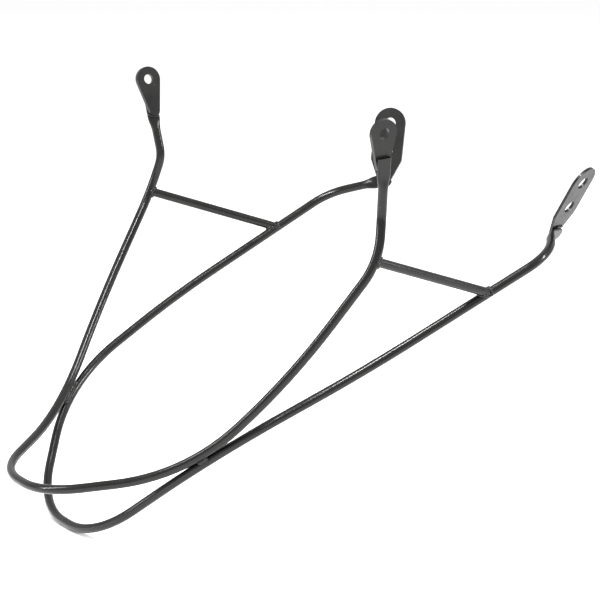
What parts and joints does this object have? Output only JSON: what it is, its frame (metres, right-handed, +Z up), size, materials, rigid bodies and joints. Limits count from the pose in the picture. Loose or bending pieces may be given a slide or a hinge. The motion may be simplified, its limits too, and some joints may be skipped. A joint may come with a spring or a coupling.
{
  "type": "luggage rack frame",
  "caption": "Black welded luggage rack of bent steel tube: two hoops joined side by side, with braces, lugs and end plates.",
  "frame": {"origin": "centre of the box of the whole rack in X and Y, at the height of its lowest point", "axes": "+X to the right, +Y from the round noses to the end plates, +Z up with the lugs at the top"},
  "size_m": [0.423, 0.4704, 0.3602],
  "materials": {
    "black_paint": "satin",
    "painted_weld": "satin, rippled"
  },
  "bodies": {
    "root": {"upper_hoop": "black_paint", "lower_hoop": "black_paint", "brace_left": "black_paint", "brace_right": "black_paint", "lug_left": "black_paint", "lug_right": "black_paint", "end_plate_left": "black_paint", "end_plate_right": "black_paint", "crossing_weld_left": "painted_weld", "crossing_weld_right": "painted_weld", "brace_weld_left_upper": "painted_weld", "brace_weld_left_lower": "painted_weld", "brace_weld_right_upper": "painted_weld", "brace_weld_right_lower": "painted_weld", "lug_weld_left": "painted_weld", "lug_weld_right": "painted_weld", "plate_weld_left": "painted_weld", "plate_weld_right": "painted_weld"}
  },
  "joints": []
}
